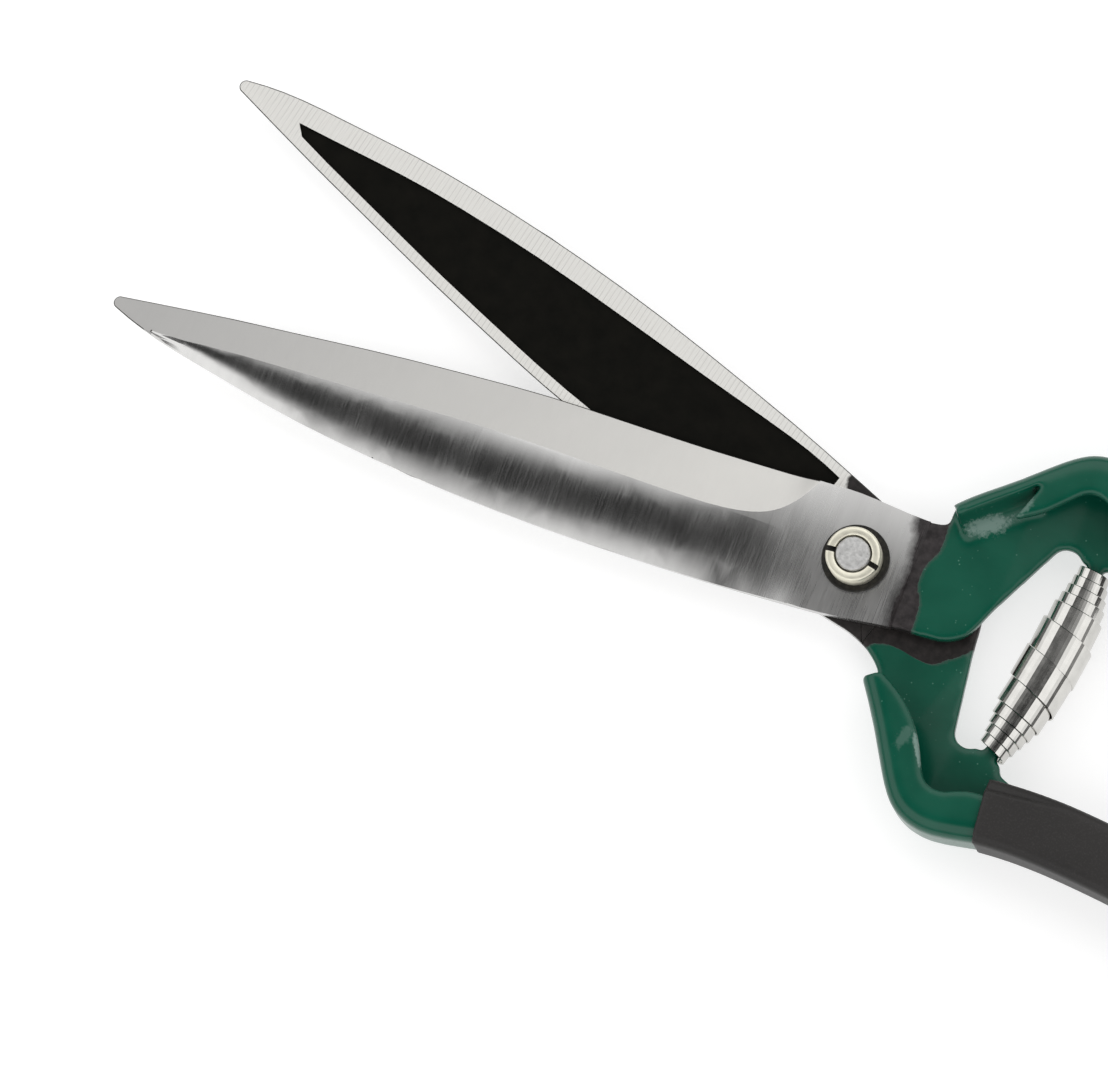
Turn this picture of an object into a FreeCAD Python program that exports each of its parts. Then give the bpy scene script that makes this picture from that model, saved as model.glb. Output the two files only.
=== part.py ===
import FreeCAD, Part

import math
import os

from FreeCAD import Vector

# One-handed hedge shears, lying flat, at rest with the spring holding the blades open.
# Frame: the origin is on the pivot axis at the underside of the bolt head, +X points from the
# pivot between the blades to their tips, +Z points from the bolt head to the nut. All sizes in mm.
#
# Each half is one steel piece, drawn in its own half frame: the pivot axis is at (0, 0), the
# blade points along +x, the cutting edge and the arm are on the +y side, and z is measured from
# the shear plane, where the two halves slide on each other.

# ---- driving sizes ----
blade_reach = 184.0          # pivot axis to blade tip
blade_width = 29.8           # widest place of one blade
handle_reach = 148.0         # pivot axis to the end of a handle
open_angle = 18.3            # between the two halves at rest

blade_thick = 3.6            # blade and pivot pad
edge_thick = 0.6             # left at the cutting edge
back_thick = 1.8             # left at the back of the crowned blade
tip_thick = 2.2              # blade at its tip
tip_radius = 1.6
hollow_depth = 0.6           # hollow in the blade's inner face
edge_rim = 2.7               # ground rim round the hollow, at the cutting edge
back_rim = 5.4               # and at the back
shear_gap = 0.1              # between the two halves' inner faces

sheet = 3.2                  # arm steel
channel_height = 13.0        # outside height of the folded handle channel
channel_width = 13.2         # outside width of the folded handle channel
channel_round = 3.6          # outer folds
joggle_start = 34.0          # the arm steps to the tool's middle plane between these two
joggle_end = 46.0            # distances from the pivot axis

seat_centre = 52.3           # spring seat, along the arm from the pivot axis
seat_offset = 16.9           # spring seat, from the half's middle line
seat_length = 6.8
prong_width = 3.6
prong_length = 3.4

grip_wall = 1.3
grip_round = 2.4             # outer edges of the grip
grip_fit = 0.05              # grip to channel
grip_start = 60.5            # grip mouth to the pivot axis, on the handle's middle line
steel_end = 10.0             # bare channel past the grip

bolt_head_radius = 8.2
bolt_head_height = 4.0
bolt_square = 8.4            # across the flats of the neck that keys into the rear half
bolt_shank_radius = 4.8      # bearing for the front half
bolt_thread_radius = 4.1
bolt_stands_out = 0.6        # peened end above the nut
square_fit = 0.05
shank_fit = 0.05
thread_fit = 0.02
side_play = 0.05             # front half to washer
washer_radius = 7.9
washer_thick = 1.0
nut_radius = 6.45
nut_height = 5.6
slot_width = 2.2
slot_depth = 1.8
slot_angles = (15.0, 178.0)  # round the pivot axis from +X

spring_end_radius = 3.6
spring_mid_radius = 7.6
strip_width = 8.5
strip_thick = 0.45
turn_starts = (0.0, 2.4, 4.8, 7.2, 9.4, 11.6, 19.4)   # outer turns' near edges, from the seat

bail_wire = 2.6              # diameter
bail_fit = 0.08              # wire in its holes
bail_side_gap = 0.4          # legs to the grip, and the cross wire to the grip
bail_overlap = 3.5           # cross wire's middle past the other handle's outer side
bail_eye_bend = 3.0
bail_corner_bend = 4.0
hang_hole_radius = 2.0
end_hole_inset = 5.0         # cross holes to the handle's end

# ---- places that follow from them ----
shear_level = bolt_head_height + blade_thick + shear_gap / 2
face_level = shear_gap / 2                     # inner face, from the shear plane
outer_level = face_level + blade_thick
web_low = -sheet / 2
web_high = sheet / 2
channel_top = web_low + channel_height
half_turn = open_angle / 2
bare_start = handle_reach - steel_end
end_hole_at = handle_reach - end_hole_inset

# share of the reach, then shares of the width towards the cutting edge and towards the back
blade_form = (
    (0.130, 0.470, 0.530),
    (0.228, 0.445, 0.554),
    (0.326, 0.433, 0.567),
    (0.457, 0.413, 0.560),
    (0.554, 0.367, 0.530),
    (0.652, 0.312, 0.477),
    (0.750, 0.242, 0.399),
    (0.848, 0.172, 0.285),
    (0.946, 0.091, 0.154),
)
# top of the bevel: share of the reach, share of the width from the middle line
bevel_form = (
    (1.020, -0.160),
    (0.875, -0.107),
    (0.745, -0.060),
    (0.614, -0.020),
    (0.480, 0.015),
    (0.345, 0.018),
    (0.238, 0.022),
    (0.161, 0.057),
    (0.114, 0.168),
    (0.090, 0.329),
    (0.077, 0.470),
)
# edge of the half from the blade's heel to the fold, then round the fold's outer side
neck_points = ((14.0, 14.4), (5.0, 14.8), (-4.0, 14.3), (-11.0, 13.9))
shoulder_points = ((-23.2, 23.9), (-29.0, 28.6), (-34.9, 33.8), (-39.6, 37.7), (-44.0, 40.2),
                   (-48.6, 41.0), (-53.0, 40.4), (-57.2, 38.7))
# the two halves are forged alike, but the fold starts nearer the pivot on the front one (+1)
neck_end = {1: ((-14.5, 14.0), (-17.3, 14.8)), -1: ((-16.4, 15.2), (-20.0, 17.2))}
shoulder_start = {1: (-17.3, 18.4), -1: (-19.2, 20.9)}
# edge of the half from the seat side of the arm round the tail to the blade's back
tail_points = ((-34.0, 0.0), (-31.9, -5.0), (-29.9, -8.4), (-26.4, -10.8), (-20.0, -11.7),
               (-11.0, -12.4), (-3.5, -13.5), (5.0, -14.5), (14.0, -15.1))
# middle of the handle: share of the way from the grip's mouth to the end, distance from the middle line
handle_line = ((0.0, 28.6), (0.13, 24.4), (0.28, 21.0), (0.46, 17.9), (0.66, 15.9), (0.85, 15.3), (1.0, 15.4))


def curve(points):
    """Smooth curve through plan points."""
    line = Part.BSplineCurve()
    line.interpolate([Vector(x, y, 0) for x, y in points])
    return line


def beside(line, distance, count):
    """Plan points at a distance to the left of a curve."""
    first, last = line.FirstParameter, line.LastParameter
    points = []
    for step in range(count + 1):
        place = first + (last - first) * step / count
        at = line.value(place)
        along = line.tangent(place)[0]
        along.normalize()
        points.append((at.x - along.y * distance, at.y + along.x * distance))
    return points


def straight(start, end):
    """Straight plan edge."""
    return Part.LineSegment(Vector(start[0], start[1], 0), Vector(end[0], end[1], 0)).toShape()


def bow(start, middle, end):
    """Plan arc through three points."""
    return Part.Arc(*[Vector(x, y, 0) for x, y in (start, middle, end)]).toShape()


def prism(edges, low, high):
    """Upright solid on closed plan edges."""
    face = Part.Face(Part.Wire(edges))
    face.translate(Vector(0, 0, low))
    return face.extrude(Vector(0, 0, high - low))


def side_slab(corners, reach):
    """Solid with an x-z outline, reaching as far to both sides."""
    points = [Vector(x, -reach, z) for x, z in corners]
    face = Part.Face(Part.makePolygon(points + points[:1]))
    return face.extrude(Vector(0, 2 * reach, 0))


def long_edges(shape, level):
    """Edges that lie at one level and are longer than a fold."""
    found = []
    for edge in shape.Edges:
        box = edge.BoundBox
        if abs(box.ZMin - level) < 1e-3 and abs(box.ZMax - level) < 1e-3 and edge.Length > 2 * sheet:
            found.append(edge)
    return found


def upright(radius, low, high):
    """Round bar on the pivot axis."""
    return Part.makeCylinder(radius, high - low, Vector(0, 0, low))


# ---- plan lines of a half ----
def handle_middle():
    run = handle_reach - grip_start
    return curve([(-(grip_start + share * run), side) for share, side in handle_line])


def handle_side(distance):
    """Edge of the handle channel, from the grip's mouth to the end."""
    points = beside(handle_middle(), distance, 10)
    return points[:-1] + [(-handle_reach, points[-1][1])]


def outer_points(side):
    """Outer side of the arm, from the fold's start to the handle's end."""
    return [shoulder_start[side], *shoulder_points] + handle_side(-channel_width / 2)[1:]


def inner_points():
    """Inner side of the handle, from its end to the spring seat."""
    return handle_side(channel_width / 2)[:0:-1]


def cutting_points():
    form = [(share * blade_reach, edge * blade_width) for share, edge, back in blade_form]
    return [(blade_reach - 0.6 * tip_radius, 0.9 * tip_radius)] + form[::-1]


def back_points():
    form = [(share * blade_reach, -back * blade_width) for share, edge, back in blade_form]
    return form + [(blade_reach - 0.6 * tip_radius, -0.9 * tip_radius)]


def bevel_points():
    return [(share * blade_reach, side * blade_width) for share, side in bevel_form]


def seat_edges(start, end):
    """Arm edge past the spring seat: a shallow notch on each side of it."""
    low = -(seat_centre + seat_length / 2)
    high = -(seat_centre - seat_length / 2)
    notch_low = (low - 1.6, seat_offset + 1.9)
    notch_high = (high + 2.2, seat_offset + 1.7)
    return [
        straight(start, notch_low),
        straight(notch_low, (low, seat_offset)),
        straight((low, seat_offset), (high, seat_offset)),
        bow((high, seat_offset), notch_high, end),
    ]


def plan_edges(side):
    """Whole outline of a half."""
    cutting = cutting_points()
    back = back_points()
    outer = outer_points(side)
    inner = inner_points()
    arm_side = (-42.6, 17.2)
    return [
        curve(cutting + list(neck_points + neck_end[side])).toShape(),
        straight(neck_end[side][-1], outer[0]),
        curve(outer).toShape(),
        straight(outer[-1], inner[0]),
        curve(inner).toShape(),
        *seat_edges(inner[-1], arm_side),
        straight(arm_side, tail_points[0]),
        curve(list(tail_points) + back).toShape(),
        bow(back[-1], (blade_reach, 0), cutting[0]),
    ]


# ---- cutters for the blade, drawn for a blade above the shear plane ----
def side_at(points, x):
    """Distance from the middle line of a plan curve at one x."""
    line = curve(points)
    cross = Part.LineSegment(Vector(x, -99, 0), Vector(x, 99, 0))
    return line.intersect(cross)[0].Y


def top_at(x):
    """Level of the blade's outer side, before it is ground."""
    taper_start = 0.3 * blade_reach
    share = max(0.0, (x - taper_start) / (blade_reach - taper_start))
    return outer_level - share * (blade_thick - tip_thick)


def bevel_cutter():
    """Wedge above the flat bevel, which runs out in a sweep at the heel."""
    edge_line = [(blade_reach * 1.06, -0.03 * blade_width)] + cutting_points()[1:] + list(neck_points)
    sections = []
    for x, top_side in bevel_points():
        edge_side = side_at(edge_line, x)
        top = top_at(x)
        runout = max(0.0, (0.130 * blade_reach - x) / (0.053 * blade_reach)) ** 1.5
        low = face_level + edge_thick + runout * (top - face_level - edge_thick)
        width = max(edge_side - top_side, 1.0)
        slope = max(top - low, 0.05) / width
        inside = top_side - 1.5
        outside = edge_side + 3.0
        corners = [
            Vector(x, inside, top + 1.5 * slope),
            Vector(x, outside, top - (outside - top_side) * slope),
            Vector(x, outside, outer_level + 4.0),
            Vector(x, inside, outer_level + 4.0),
        ]
        sections.append(Part.makePolygon(corners + corners[:1]))
    return Part.makeLoft(sections, True, False)


def crown_cutter():
    """Space above the rounded fall from the bevel's top to the blade's back."""
    back_line = list(tail_points)[4:] + back_points()
    top_line = bevel_points()
    sections = []
    for share in (0.02, 0.10, 0.18, 0.26, 0.38, 0.50, 0.62, 0.74, 0.85, 0.94):
        x = share * blade_reach
        back_side = side_at(back_line, x)
        top_side = side_at(top_line, x) if share > 0.2 else 0.03 * blade_width
        top_side = max(top_side, back_side + 1.2)
        fade = min(1.0, max(0.0, (share - 0.02) / 0.24))
        drop = 0.02 + (blade_thick - back_thick) * fade * fade * (3 - 2 * fade)
        top = top_at(x)
        drop = drop * (top - face_level) / blade_thick
        span = top_side - back_side
        fall = Part.BezierCurve()
        fall.setPoles([
            Vector(x, top_side, top),
            Vector(x, top_side - 0.5 * span, top),
            Vector(x, back_side, top - drop),
        ])
        roof = outer_level + 4.0
        beyond = Vector(x, back_side - 3.0, top - drop * (1 + 3.0 / span))
        corner_low = Vector(x, back_side - 3.0, roof)
        corner_high = Vector(x, top_side, roof)
        edges = [
            fall.toShape(),
            Part.LineSegment(Vector(x, back_side, top - drop), beyond).toShape(),
            Part.LineSegment(beyond, corner_low).toShape(),
            Part.LineSegment(corner_low, corner_high).toShape(),
            Part.LineSegment(corner_high, Vector(x, top_side, top)).toShape(),
        ]
        sections.append(Part.Wire(edges))
    return Part.makeLoft(sections, True, False)


def hollow_cutter():
    """Shallow hollow in the inner face, inside a ground rim."""
    tip_edge = (0.895 * blade_reach, 1.2)
    tip_back = (0.909 * blade_reach, -1.0)
    edge = [(share * blade_reach, cut * blade_width - edge_rim) for share, cut, back in blade_form[:-1]]
    back = []
    for share, cut, spine in blade_form[:-1]:
        rim = back_rim * min(1.0, 0.45 + 2.2 * (share - 0.13))
        back.append((share * blade_reach, rim - spine * blade_width))
    heel_edge = (0.085 * blade_reach, edge[0][1] - 0.6)
    heel_back = (0.085 * blade_reach, back[0][1] + 0.6)
    edges = [
        curve([heel_edge] + edge + [tip_edge]).toShape(),
        straight(tip_edge, tip_back),
        curve([tip_back] + back[::-1] + [heel_back]).toShape(),
        straight(heel_back, heel_edge),
    ]
    return prism(edges, face_level - 1.0, face_level + hollow_depth)


# ---- a half ----
def side_profile(side):
    """Levels of the steel along the half: blade and pad on one side of the shear plane, then the arm."""
    inner, outer = side * face_level, side * outer_level
    tip = side * (outer_level - blade_thick + tip_thick)
    far = handle_reach + 5
    arm_inner, arm_outer = (web_low, web_high) if side > 0 else (web_high, web_low)
    return side_slab([
        (blade_reach + 5, inner),
        (-joggle_start, inner),
        (-joggle_end, arm_inner),
        (-far, arm_inner),
        (-far, arm_outer),
        (-joggle_end, arm_outer),
        (-joggle_start, outer),
        (0.3 * blade_reach, outer),
        (blade_reach, tip),
        (blade_reach + 5, tip),
    ], 80)


def fold_space(side):
    """Levels that the folded channel fills along the half."""
    start_low = face_level if side > 0 else -outer_level
    far = handle_reach + 5
    return side_slab([
        (0, start_low),
        (-joggle_start, start_low),
        (-joggle_end, web_low),
        (-far, web_low),
        (-far, channel_top),
        (0, channel_top),
    ], 80)


def fold_edges(side):
    """Plan of the fold and its lip. Its inner edge dips at the shoulder."""
    outer = outer_points(side)
    lip_start = (-22.4, 17.4)
    lip_inner = beside(handle_middle(), channel_width / 2 - 2.0, 8)[:0:-1]
    shoulder = [(-58.6, 25.4), (-54.4, 27.6), (-51.0, 30.4), (-47.0, 31.2), (-43.4, 28.8),
                (-38.6, 24.0), (-33.5, 20.6), lip_start]
    end_inner = (-handle_reach, lip_inner[0][1])
    return [
        curve(outer).toShape(),
        straight(outer[-1], end_inner),
        curve([end_inner] + lip_inner[1:] + shoulder).toShape(),
        straight(lip_start, outer[0]),
    ]


def channel_fold(side):
    """Wall along the arm's outer side, rolled over the web as a lip."""
    outer = outer_points(side)
    fold = prism(fold_edges(side), -outer_level, channel_top)
    fold = fold.common(fold_space(side))
    fold = fold.makeFillet(channel_round, [longest_edge(fold, channel_top)])
    wall_inside = beside(curve(outer), sheet, 36)
    start, end = wall_inside[0], wall_inside[-1]
    clear_end = (-handle_reach - 10, end[1])
    clear_start = (start[0] + 14, start[1] - 6)
    hollow_edges = [
        straight(clear_start, start),
        curve(wall_inside).toShape(),
        straight(end, clear_end),
        straight(clear_end, (clear_end[0], -30)),
        straight((clear_end[0], -30), (clear_start[0], -30)),
        straight((clear_start[0], -30), clear_start),
    ]
    hollow_low = outer_level if side > 0 else -face_level
    hollow = prism(hollow_edges, web_low, channel_top - sheet)
    hollow = hollow.common(side_slab([
        (30, hollow_low),
        (-joggle_start, hollow_low),
        (-joggle_end, web_high),
        (-handle_reach - 12, web_high),
        (-handle_reach - 12, channel_top),
        (30, channel_top),
    ], 80))
    fold = fold.cut(hollow)
    if side > 0:
        corners = ((30.0, -20.0), (-17.0, -20.0), (-38.5, 37.0), (30.0, 37.0))
        sides = [straight(corners[at - 1], corners[at]) for at in range(4)]
        upright_part = prism(sides, outer_level, outer_level + channel_height)
        near_wall = prism(strip_edges(outer, sheet), outer_level, channel_top)
        fold = fold.cut(upright_part.cut(near_wall))
    return fold


def strip_edges(outer, width):
    """Plan of a strip along the start of the fold's outer side."""
    line = curve(outer)
    inside = beside(line, width, 36)[:14]
    outside = beside(line, -1.0, 36)[:14]
    return [
        curve(outside).toShape(),
        straight(outside[-1], inside[-1]),
        curve(inside[::-1]).toShape(),
        straight(inside[0], outside[0]),
    ]


def longest_edge(shape, level):
    """Longest edge at one level."""
    return max(long_edges(shape, level), key=lambda edge: edge.Length)


def half(side):
    """One steel half in its half frame. side is +1 above the shear plane, -1 below it."""
    steel = prism(plan_edges(side), -outer_level, outer_level).common(side_profile(side))
    cutters = [bevel_cutter(), crown_cutter(), hollow_cutter()]
    for cutter in cutters:
        if side < 0:
            cutter = cutter.mirror(Vector(0, 0, 0), Vector(0, 0, 1))
        steel = steel.cut(cutter)
    steel = steel.fuse(channel_fold(side))
    prong = Part.makeBox(prong_width, prong_length + 1, sheet,
                         Vector(-seat_centre - prong_width / 2, seat_offset - prong_length, web_low))
    steel = steel.fuse(prong)
    if side > 0:
        steel = steel.cut(upright(bolt_shank_radius + shank_fit, -1, outer_level + 1))
        end_hole = bail_wire / 2 + bail_fit
    else:
        across = bolt_square + 2 * square_fit
        steel = steel.cut(Part.makeBox(across, across, blade_thick + 2,
                                       Vector(-across / 2, -across / 2, -outer_level - 1)))
        end_hole = hang_hole_radius
    hole = Part.makeCylinder(end_hole, channel_height + 4, Vector(-end_hole_at, end_hole_side(), web_low - 2))
    return steel.cut(hole).removeSplitter()


def end_hole_side():
    """Distance of the cross holes from the half's middle line: the channel's middle."""
    return side_at([(x, y) for x, y in beside(handle_middle(), 0, 12)], -end_hole_at)


# ---- grip ----
def grip_plan(extra):
    """Plan of the handle channel grown by extra, cut square at the grip's ends."""
    middle = handle_middle()
    outer = beside(middle, -(channel_width / 2 + extra), 10)
    inner = beside(middle, channel_width / 2 + extra, 10)
    return [
        curve(outer).toShape(),
        straight(outer[-1], inner[-1]),
        curve(inner[::-1]).toShape(),
        straight(inner[0], outer[0]),
    ]


def grip(steel):
    """Vinyl sleeve over the steel's channel, in the half frame."""
    skin = prism(grip_plan(grip_wall), web_low - grip_wall, channel_top + grip_wall)
    for level in (web_low - grip_wall, channel_top + grip_wall):
        lines = [line for line in long_edges(skin, level) if line.Length > 3 * channel_width]
        skin = skin.makeFillet(grip_round, lines)
    core = prism(grip_plan(grip_fit), web_low - grip_fit, channel_top + grip_fit)
    sleeve = skin.cut(core).cut(steel)
    bare = Part.makeBox(60, 80, 60, Vector(-bare_start - 60, -40, -30))
    return sleeve.cut(bare).removeSplitter()


# ---- pivot ----
def pivot_bolt():
    head = upright(bolt_head_radius, -outer_level - bolt_head_height, -outer_level)
    head = head.makeFillet(1.0, [edge for edge in head.Edges if edge.BoundBox.ZMax < -outer_level - 1])
    neck = Part.makeBox(bolt_square, bolt_square, blade_thick,
                        Vector(-bolt_square / 2, -bolt_square / 2, -outer_level))
    shank = upright(bolt_shank_radius, -face_level, outer_level + side_play)
    nut_top = outer_level + side_play + washer_thick + nut_height
    thread = upright(bolt_thread_radius, outer_level, nut_top + bolt_stands_out)
    thread = thread.makeFillet(0.5, [edge for edge in thread.Edges if edge.BoundBox.ZMin > nut_top])
    return head.fuse([neck, shank, thread]).removeSplitter()


def nut_washer():
    low = outer_level + side_play
    ring = upright(washer_radius, low, low + washer_thick)
    return ring.cut(upright(bolt_thread_radius + 2 * thread_fit, low - 1, low + washer_thick + 1))


def pivot_nut():
    low = outer_level + side_play + washer_thick
    high = low + nut_height
    ring = upright(nut_radius, low, high)
    ring = ring.makeFillet(0.5, [edge for edge in ring.Edges if edge.BoundBox.ZMin > high - 0.1])
    ring = ring.cut(upright(bolt_thread_radius + thread_fit, low - 1, high + 1))
    for angle in slot_angles:
        slot = Part.makeBox(nut_radius + 2, slot_width, slot_depth + 1,
                            Vector(0, -slot_width / 2, high - slot_depth))
        slot.rotate(Vector(0, 0, 0), Vector(0, 0, 1), angle)
        ring = ring.cut(slot)
    return ring


# ---- spring ----
def spring_half():
    """Stepped hollow cone from a seat to the middle of the tool, along +Y from its own origin."""
    turns = len(turn_starts)
    growth = (spring_mid_radius - spring_end_radius) / (turns - 1)
    radii = [spring_end_radius + growth * turn for turn in range(turns)]
    far = spring_run() + 6
    outside = []
    inside = []
    for turn, (start, radius) in enumerate(zip(turn_starts, radii)):
        next_start = turn_starts[turn + 1] if turn + 1 < turns else far
        outside += [(radius, start), (radius, next_start)]
        inner_start = 0.0 if turn == 0 else turn_starts[turn - 1] + strip_width
        inner_end = start + strip_width if turn + 1 < turns else far
        inside += [(radius - strip_thick, inner_start), (radius - strip_thick, inner_end)]
    corners = [Vector(radius, along, 0) for radius, along in outside + inside[::-1]]
    face = Part.Face(Part.makePolygon(corners + corners[:1]))
    return face.revolve(Vector(0, 0, 0), Vector(0, 1, 0), 360)


def spring_run():
    """From a seat to the tool's middle plane, square to the seat."""
    turn = math.radians(half_turn)
    seat_height = seat_centre * math.sin(turn) + seat_offset * math.cos(turn)
    return seat_height / math.cos(turn)


def volute_spring():
    """The two cones meet in the tool's middle plane, each square to its seat."""
    cone = spring_half()
    cone.rotate(Vector(0, 0, 0), Vector(0, 0, 1), 180)
    cone.translate(Vector(-seat_centre, seat_offset, 0))
    cone.rotate(Vector(0, 0, 0), Vector(0, 0, 1), -half_turn)
    cone = cone.common(Part.makeBox(80, 60, 60, Vector(-100, 0, -30)))
    return cone.fuse(cone.mirror(Vector(0, 0, 0), Vector(0, 1, 0))).removeSplitter()


# ---- bail ----
def bail_reach():
    """Hole to cross wire: past the other handle when the tool is shut."""
    return 2 * end_hole_side() + channel_width / 2 + bail_overlap


def bail_stow_angle():
    """Turn from the half's +x at which the cross wire lies outside the grip."""
    clearance = grip_wall + bail_side_gap + bail_wire / 2
    reach = bail_reach()
    hole = (-end_hole_at, end_hole_side())
    steepest = 0.0
    for x, y in beside(handle_middle(), -(channel_width / 2 + clearance), 200):
        away = math.hypot(x - hole[0], y - hole[1])
        if abs(away - reach) < 1.5 and x > hole[0]:
            steepest = max(steepest, math.degrees(math.atan2(y - hole[1], x - hole[0])))
    return steepest


def locking_bail():
    """Wire loop, drawn with its eyes on the z axis and its cross wire out along +x."""
    radius = bail_wire / 2
    low = web_low - grip_wall - bail_side_gap - radius
    high = channel_top + grip_wall + bail_side_gap + radius
    inside_low = web_high - 0.3
    inside_high = channel_top - sheet + 0.3
    reach = bail_reach()
    eye, corner = bail_eye_bend, bail_corner_bend
    diagonal = math.sqrt(0.5)
    runs = [
        ((0, inside_low), (0, low + eye)),
        ((eye, low), (reach - corner, low)),
        ((reach, low + corner), (reach, high - corner)),
        ((reach - corner, high), (eye, high)),
        ((0, high - eye), (0, inside_high)),
    ]
    centres = [
        ((eye, low + eye), eye, (-1, -1)),
        ((reach - corner, low + corner), corner, (1, -1)),
        ((reach - corner, high - corner), corner, (1, 1)),
        ((eye, high - eye), eye, (-1, 1)),
    ]
    edges = []
    for index, (start, end) in enumerate(runs):
        edges.append(Part.LineSegment(Vector(start[0], 0, start[1]), Vector(end[0], 0, end[1])).toShape())
        if index < len(centres):
            (x, z), bend, (way_x, way_z) = centres[index]
            after = runs[index + 1][0]
            middle = Vector(x + way_x * bend * diagonal, 0, z + way_z * bend * diagonal)
            edges.append(Part.Arc(Vector(end[0], 0, end[1]), middle, Vector(after[0], 0, after[1])).toShape())
    path = Part.Wire(edges)
    ring = Part.Wire([Part.makeCircle(radius, Vector(0, 0, inside_low), Vector(0, 0, 1))])
    wire = path.makePipeShell([ring], True, True)
    wire.rotate(Vector(0, 0, 0), Vector(0, 0, 1), bail_stow_angle())
    wire.translate(Vector(-end_hole_at, end_hole_side(), 0))
    return wire


# ---- places at rest ----
def rear(shape):
    """From the half frame to the rear half's place: arm towards +Y."""
    shape.rotate(Vector(0, 0, 0), Vector(0, 0, 1), -half_turn)
    return lifted(shape)


def front(shape):
    """From the half frame to the front half's place: arm towards -Y."""
    shape = shape.mirror(Vector(0, 0, 0), Vector(0, 1, 0))
    shape.rotate(Vector(0, 0, 0), Vector(0, 0, 1), half_turn)
    return lifted(shape)


def lifted(shape):
    """Shear plane to its height over the bolt head."""
    shape.translate(Vector(0, 0, shear_level))
    return shape


rear_steel = half(-1)
front_steel = half(1)
nodes = {
    "rear_grip": rear(grip(rear_steel)),
    "front_grip": front(grip(front_steel)),
    "rear_half": rear(rear_steel),
    "front_half": front(front_steel),
    "pivot_bolt": rear(pivot_bolt()),
    "nut_washer": lifted(nut_washer()),
    "pivot_nut": lifted(pivot_nut()),
    "volute_spring": lifted(volute_spring()),
    "locking_bail": front(locking_bail()),
}

os.makedirs("parts", exist_ok=True)
for name, shape in nodes.items():
    solids = shape.Solids
    print(name, "solids", len(solids), "valid", shape.isValid(), "volume", round(shape.Volume, 1))
    shape.exportStep("parts/" + name + ".step")
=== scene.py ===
import bmesh
import bpy
import math
from mathutils import Matrix, Vector, noise


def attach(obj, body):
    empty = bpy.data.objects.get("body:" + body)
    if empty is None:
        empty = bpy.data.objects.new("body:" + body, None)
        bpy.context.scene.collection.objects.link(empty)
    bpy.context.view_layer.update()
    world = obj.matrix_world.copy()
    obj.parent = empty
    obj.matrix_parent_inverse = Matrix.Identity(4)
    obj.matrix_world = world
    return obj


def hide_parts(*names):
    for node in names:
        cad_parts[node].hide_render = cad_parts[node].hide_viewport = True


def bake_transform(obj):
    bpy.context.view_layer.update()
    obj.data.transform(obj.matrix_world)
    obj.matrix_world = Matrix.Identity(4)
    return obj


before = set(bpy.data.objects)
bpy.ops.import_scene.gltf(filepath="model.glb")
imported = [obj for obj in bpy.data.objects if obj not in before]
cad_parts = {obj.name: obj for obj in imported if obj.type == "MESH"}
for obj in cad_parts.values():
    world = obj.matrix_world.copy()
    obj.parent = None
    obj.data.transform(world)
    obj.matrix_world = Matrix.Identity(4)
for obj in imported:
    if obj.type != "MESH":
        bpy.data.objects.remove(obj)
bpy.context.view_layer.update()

# Each half is worked on in its own half frame, in millimetres: pivot at the origin, blade along +x,
# cutting edge and arm on +y, z from the shear plane.
shears = {"shearLevel": 7.65, "halfTurn": 9.15}


def halfPlace(side):
    turn = math.radians(shears["halfTurn"]) * side
    place = Matrix.Scale(0.001, 4) @ Matrix.Translation((0, 0, shears["shearLevel"]))
    place = place @ Matrix.Rotation(turn, 4, "Z")
    if side > 0:
        place = place @ Matrix.Scale(-1, 4, (0, 1, 0))
    return place


def newObject(name, bm):
    mesh = bpy.data.meshes.new(name)
    bm.to_mesh(mesh)
    bm.free()
    made = bpy.data.objects.new(name, mesh)
    bpy.context.collection.objects.link(made)
    return made


def newPiece(name, bm, body, slotName, *nodes):
    piece = newObject(name, bm)
    if body:
        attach(piece, body)
    if nodes:
        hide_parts(*nodes)
    return piece


def smoothFaces(bm, sharpAngle=30):
    limit = math.radians(sharpAngle)
    for face in bm.faces:
        face.smooth = True
    for edge in bm.edges:
        edge.smooth = not (len(edge.link_faces) != 2 or edge.calc_face_angle(0) > limit)


def startMaterial(name):
    material = bpy.data.materials.new(name)
    material.use_nodes = True
    nodes = material.node_tree.nodes
    nodes.clear()
    out = nodes.new("ShaderNodeOutputMaterial")
    shader = nodes.new("ShaderNodeBsdfPrincipled")
    material.node_tree.links.new(shader.outputs[0], out.inputs[0])
    return material, material.node_tree, shader


def addNode(tree, kind, inputs=None, **settings):
    node = tree.nodes.new(kind)
    for key, value in settings.items():
        setattr(node, key, value)
    for key, value in (inputs or {}).items():
        if isinstance(value, bpy.types.NodeSocket):
            tree.links.new(value, node.inputs[key])
        else:
            node.inputs[key].default_value = value
    return node


def halfCoords(tree, side):
    coords = addNode(tree, "ShaderNodeTexCoord")
    turn = math.radians(shears["halfTurn"])
    return addNode(tree, "ShaderNodeMapping", {
        "Vector": coords.outputs["Object"],
        "Location": (0, 0, -shears["shearLevel"]),
        "Rotation": (0, 0, turn),
        "Scale": (1000, -1000 if side > 0 else 1000, 1000),
    }).outputs[0]


def rowCoords(tree):
    coords = addNode(tree, "ShaderNodeTexCoord")
    return stretched(tree, coords.outputs["Object"], (1000, 1000, 1000))


def stretched(tree, vector, scale, turn=0.0):
    return addNode(tree, "ShaderNodeMapping", {
        "Vector": vector, "Scale": scale, "Rotation": (0, 0, math.radians(turn))}).outputs[0]


def noiseOf(tree, vector, scale, detail=3.0, rough=0.5):
    return addNode(tree, "ShaderNodeTexNoise", {
        "Vector": vector, "Scale": scale, "Detail": detail, "Roughness": rough}).outputs["Fac"]


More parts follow.
